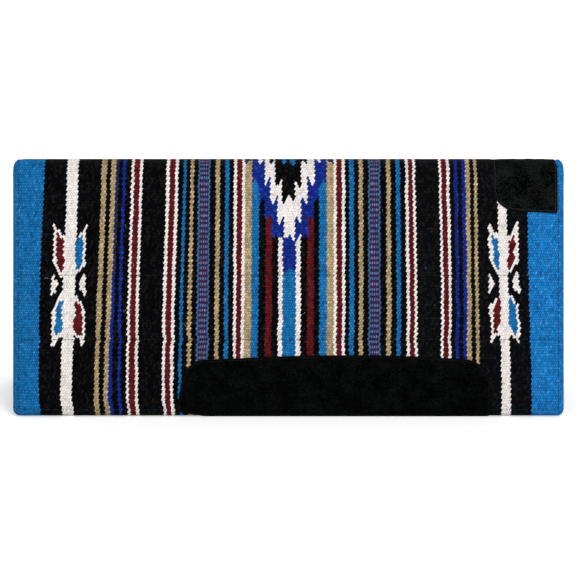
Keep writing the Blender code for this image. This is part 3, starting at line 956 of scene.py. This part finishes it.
def resample(line, gap, closed=True):
    """The same line with points about `gap` apart."""
    if closed:
        line = np.vstack((line, line[:1]))
    length = line_lengths(line)
    count = max(3, int(round(length[-1] / gap)))
    at = np.linspace(0, length[-1], count + 1)
    if closed:
        at = at[:-1]
    return along_line(line, length, at)


def moved_in(line, amount, closed=True):
    """The line moved sideways by `amount`, towards the inside of a loop that turns left."""
    if closed:
        step = np.roll(line, -1, axis=0) - np.roll(line, 1, axis=0)
    else:
        step = np.gradient(line, axis=0)
    step /= np.linalg.norm(step, axis=1, keepdims=True)
    return line + np.column_stack((-step[:, 1], step[:, 0])) * amount


def withers_outline():
    rear, front, low = WITHERS_REAR, WITHERS_FRONT, WITHERS_LOW
    return rounded_outline([
        ((front - WITHERS_SLANT, 0.0), 0), ((front, WITHERS_SHOULDER), 0.015),
        ((front, low), 0.003), ((rear, low - 0.0065), 0.039), ((rear, 0.0), 0),
    ])


def fender_outline():
    rear, front, top, low = FENDER_REAR, FENDER_FRONT, FENDER_TOP, FENDER_LOW
    line = resample(rounded_outline([
        ((front, low), 0.006), ((rear + 0.048, low), 0.03), ((rear + 0.0016, low - 0.0104), 0.004),
        ((rear + 0.0028, low - 0.026), 0.03), ((rear + 0.0160, top), 0.037), ((front, top), 0.0416),
    ]), 0.004)
    crown = np.clip((line[:, 0] - rear) / (front - rear), 0, 1) ** 1.15
    line[:, 1] -= FENDER_CROWN * np.sin(math.pi * crown) * ease((low - line[:, 1]) / 0.08)
    return line


def distance_to_edge(rim, spots, open_crest):
    """How far the spots are from the leather's cut edge."""
    best = np.full(len(spots), 1e9)
    for first, second in zip(rim, np.roll(rim, -1, axis=0)):
        if open_crest and max(first[1], second[1]) < 1e-6:
            continue
        way = second - first
        t = np.clip(((spots - first) @ way) / (way @ way), 0, 1)
        best = np.minimum(best, np.linalg.norm(spots - (first + t[:, None] * way), axis=1))
    return best


def make_leather(name, outline, side, material, open_crest, seed):
    """A suede leather with a rounded cut edge, pulled down along its seam."""
    rim = resample(outline, 0.0035)
    low, high = rim.min(0), rim.max(0)
    seam, grid_step, crest_gap = LEATHER_SEAM, 0.0045, 0.002
    rings = [moved_in(rim, amount) for amount in (
        0.0007, 0.0018, seam - 0.0009, seam, seam + 0.0009, seam + 0.003)]
    grid = np.meshgrid(*(np.arange(low[n], high[n], grid_step) for n in (0, 1)))
    grid = np.column_stack([lines.ravel() for lines in grid])
    grid = grid[inside(moved_in(rim, seam + 0.005) / MM, *grid.T)]
    if open_crest:
        rings = [ring[ring[:, 1] > crest_gap] for ring in rings]
        crest = np.arange(low[0] + 0.004, high[0] - 0.003, grid_step)
        crest = np.column_stack((crest, np.full(len(crest), crest_gap + 0.0002)))
        grid = np.concatenate((grid[grid[:, 1] > crest_gap], crest))
    spots = np.concatenate([rim] + rings + [grid])
    count = len(rim)
    edges = [(k, (k + 1) % count) for k in range(count)]
    made = geometry.delaunay_2d_cdt([Vector(p) for p in spots], edges, [], 1, 1e-7)
    flat = np.array([tuple(p) for p in made[0]])
    size = len(flat)
    origin = {old: new for new, olds in enumerate(made[3]) for old in olds}
    loop = [origin[k] for k in range(count)]
    gap = distance_to_edge(rim, flat, open_crest)
    a, b = flat.T
    rounding = 0.0009
    inset = np.clip(rounding - gap, 0, rounding)
    drop = rounding - np.sqrt(np.maximum(rounding**2 - inset**2, 0))
    pull = 0.00075 * np.exp(-(((gap - seam) / 0.0016) ** 2)) * ease(b / 0.02 + 0.2)
    swell = 0.0005 * ease((gap - seam) / 0.02) + 0.0003 * smooth_noise(a, b, 0.012, seed)
    top = LEATHER_TOP - drop - pull + np.where(gap > 0.001, swell, 0)
    waist = LEATHER_GAP + 0.45 * LEATHER_THICKNESS
    layers = ((flat, top), (flat, LEATHER_GAP), (flat[loop], waist))
    points = [surface(*places.T, height, side)[0] for places, height in layers]
    # seen from outside on the off half, +b runs down, so a loop that turns left faces inwards
    faces = [t[::-1] for t in made[2]] + [[size + k for k in t] for t in made[2]]
    for n in range(count):
        after = (n + 1) % count
        faces.append((loop[n], loop[after], 2 * size + after, 2 * size + n))
        faces.append((2 * size + n, 2 * size + after, size + loop[after], size + loop[n]))
    obj = new_object(name, np.concatenate(points), faces, side, material)
    rubbed = (np.exp(-((gap / 0.0013) ** 2)) * 0.5, np.zeros(size), np.full(count, 0.8))
    set_attribute(obj, "rubbed", "FLOAT", "POINT", "value", np.concatenate(rubbed))
    bake = 0.02 + (0.46, 0.96) * (flat - low) / (high - low)
    add_bake_uv(obj, np.concatenate((bake, bake + (0.5, 0), bake[loop] + (0, 0.004))))
    return obj


# Stitches


def make_thread(name, strands, side, material, around, squash=1.0):
    """Lengths of thread as closed tubes. Each has its middle line, its normals and its radii."""
    points, faces, places = [], [], []
    turns = 2 * math.pi * np.arange(around) / around
    shift = 0
    for centre, normal, radii in strands:
        ahead = np.gradient(centre, axis=0)
        ahead /= np.linalg.norm(ahead, axis=1, keepdims=True)
        across = np.cross(ahead, normal)
        ring = across[:, None] * np.cos(turns)[:, None]
        ring = ring + normal[:, None] * np.sin(turns)[:, None] * squash
        points.append((centre[:, None] + ring * radii[:, None, None]).reshape(-1, 3))
        last = len(centre) - 1
        places += [(k / last, m / around) for k in range(last + 1) for m in range(around)]
        for low in range(shift, shift + last * around, around):
            for m in range(around):
                after = (m + 1) % around
                faces.append((low + m, low + after, low + around + after, low + around + m))
        end = shift + last * around
        faces += [range(shift + around - 1, shift - 1, -1), range(end, end + around)]
        shift = end + around
    obj = new_object(name, np.concatenate(points), faces, side, material)
    places = np.array(places)
    add_uv(obj, "thread", places[corner_verts(obj.data)])
    # each length has its own square of the bake
    piece = np.arange(len(places)) // (len(places) // len(strands))
    wide = math.ceil(math.sqrt(len(strands)))
    square = np.column_stack((piece % wide, piece // wide))
    add_bake_uv(obj, (square + 0.08 + 0.84 * places) / wide)
    return obj


def make_stitches(name, lines, stitch, side, material, height):
    """Rows of stitches that dip into the cloth at both ends. `lines` are flat (a, b) paths."""
    spacing, length, radius = stitch
    share = np.arange(STITCH_STEPS + 1) / STITCH_STEPS
    arch = np.sqrt(np.maximum(1 - (share * 2 - 1) ** 4, 0))
    lift = height + radius * (1.7 * arch - 1.1)
    strands = []
    for line in lines:
        line = np.array(line, float)
        run = line_lengths(line)
        count = int(run[-1] / spacing)
        for n in range(count):
            at = (n + 0.5) * run[-1] / count + length * (share - 0.5)
            middle = surface(*along_line(line, run, at).T, lift, side)
            strands.append((*middle, radius * (0.35 + 0.65 * arch)))
    return make_thread(name, strands, side, material, around=7, squash=0.8)


def make_fibres(side, material, count=34):
    """Stray wool fibres lying on the flap."""
    rng = np.random.default_rng(70 + side)
    steps, radius, most_curl = 7, 0.00013, 420
    lift = 0.0005 + 0.0006 * np.sin(np.linspace(0, math.pi, steps + 1))
    strands = []
    for _ in range(count):
        a = rng.uniform(-0.42, 0.42)
        b = rng.uniform(0.07, 0.33)
        angle = rng.uniform(0, 2 * math.pi)
        curl = rng.uniform(-most_curl, most_curl)
        step = rng.uniform(0.003, 0.009) / steps
        spots = []
        for _ in range(steps + 1):
            spots.append((a, b))
            a += math.cos(angle) * step
            b += math.sin(angle) * step
            angle += curl * step
        middle = surface(*np.array(spots).T, lift, side)
        strands.append((*middle, np.full(steps + 1, radius)))
    return make_thread(f"stray_fibres_{side_name(side)}", strands, side, material, around=4)


def seam_path():
    """The edge seam of one half, from the crest down one end, along the edge and up again."""
    reach_a, reach_b = FLAT_A + ARC[SEAM_POINT], FLAT_B + ARC[SEAM_POINT]
    end = [(reach_a - 0.006, reach_b), (reach_a - 0.0015, reach_b - 0.0015),
           (reach_a, reach_b - 0.006), (reach_a, 0.004)]
    return [(-a, b) for a, b in end[::-1]] + end


def withers_seam_path():
    outline = [p for p in withers_outline() if p[1] > 0]
    line = [(WITHERS_FRONT - 0.003, 0.003), *outline, (WITHERS_REAR, 0.003)]
    return moved_in(resample(np.array(line), 0.003, closed=False), LEATHER_SEAM, closed=False)


def fender_seam_path():
    line = moved_in(resample(fender_outline(), 0.003), LEATHER_SEAM)
    return np.vstack((line, line[:1]))


# Putting it together

WOOL = woven_material()
FELT = felt_material()
WITHERS_SUEDE = suede_material("withers_suede", (0.0096, 0.0116, 0.0110))
FENDER_SUEDE = suede_material("fender_suede", (0.0039, 0.0049, 0.0044))
SEAM_THREAD = thread_material("seam_thread", (0.0025, 0.010, 0.024), (0.0050, 0.024, 0.058))
QUILT_THREAD = thread_material("quilt_thread", (0.0060, 0.0052, 0.0045), (0.016, 0.0135, 0.012))
WITHERS_THREAD = thread_material("withers_thread", (0.020, 0.022, 0.026), (0.058, 0.062, 0.070))
FENDER_THREAD = thread_material("fender_thread", (0.005, 0.006, 0.007), (0.014, 0.016, 0.018))
LINT = thread_material("wool_lint", (0.45, 0.50, 0.55), (0.68, 0.72, 0.75), sheen=0.3)


def bend_with_fold(piece):
    """Bakes the piece's place in space into its mesh."""
    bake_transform(piece)


for side in (-1, 1):
    which = side_name(side)
    cover = make_cover(side, WOOL)
    felt = make_felt(side, FELT)
    withers = make_leather(
        f"withers_leather_{which}_half", withers_outline(), side, WITHERS_SUEDE, True, seed=81)
    fender = make_leather(
        f"fender_leather_{which}", fender_outline(), side, FENDER_SUEDE, False, seed=91)
    edge_seam = make_stitches(
        f"edge_seam_{which}", [seam_path()], EDGE_STITCH, side, SEAM_THREAD, -0.0003)
    rows = [[(-QUILT_END, run), (QUILT_END, run)] for run in QUILT_RUNS]
    quilting = make_stitches(
        f"quilting_{which}", rows, QUILT_STITCH, side, QUILT_THREAD, -0.00032)
    withers_seam = make_stitches(f"withers_seam_{which}", [withers_seam_path()], LEATHER_STITCH,
                                 side, WITHERS_THREAD, LEATHER_TOP - 0.0007)
    fender_seam = make_stitches(f"fender_seam_{which}", [fender_seam_path()], LEATHER_STITCH,
                                side, FENDER_THREAD, LEATHER_TOP - 0.0007)
    fibres = make_fibres(side, LINT)

    for piece in (cover, felt, withers, edge_seam, withers_seam):
        bend_with_fold(piece)
    for piece in (fender, fender_seam, quilting, fibres):
        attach(piece, f"{which}_flap")
    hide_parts(f"cover_{which}_flap", "cover_spine")
    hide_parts(f"felt_{which}_flap", "felt_spine")
    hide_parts(f"withers_leather_{which}_flap", "withers_leather_spine")
    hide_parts(f"fender_leather_{which}_flap")

# Floor, lights and camera

floor_mesh = bpy.data.meshes.new("floor")
floor_mesh.from_pydata([(-9, -9, 0), (9, -9, 0), (9, 9, 0), (-9, 9, 0)], [], [(0, 1, 2, 3)])
floor_mesh.materials.append(floor_material())
floor = linked("floor", floor_mesh)

world = bpy.data.worlds.new("pale_room")
world.use_nodes = True
bpy.context.scene.world = world
room = Nodes(world.node_tree)
brightness = room.linear(background_seen(room), 0.38, 0.62)
room.fill(world.node_tree.nodes["Background"],
          {"Color": (1.0, 1.0, 1.0, 1.0), "Strength": brightness})


def area_light(name, place, size, power):
    """A soft light turned to the middle of the pad."""
    data = bpy.data.lights.new(name, "AREA")
    data.size = size
    data.energy = power
    lamp = linked(name, data)
    lamp.location = place
    way = Vector((0, 0, 0.2)) - Vector(place)
    lamp.rotation_euler = way.to_track_quat("-Z", "Y").to_euler()


area_light("key", (1.0, -2.8, 2.6), 1.6, 56)
area_light("fill", (-2.2, -2.4, 1.8), 2.2, 26)
area_light("back", (0.4, 2.8, 2.4), 2.2, 45)

camera_data = bpy.data.cameras.new("camera")
camera_data.lens = 200
camera_data.sensor_width = 36
camera_data.clip_end = 60
camera = linked("camera", camera_data)
view_way = Vector((0, math.cos(FLAP_ANGLE), -math.sin(FLAP_ANGLE)))
camera.location = Vector((-0.0007, -0.0797, 0.2077)) - view_way * 5.298
camera.rotation_euler = view_way.to_track_quat("-Z", "Y").to_euler()
bpy.context.scene.camera = camera
bpy.context.scene.view_settings.view_transform = "Standard"
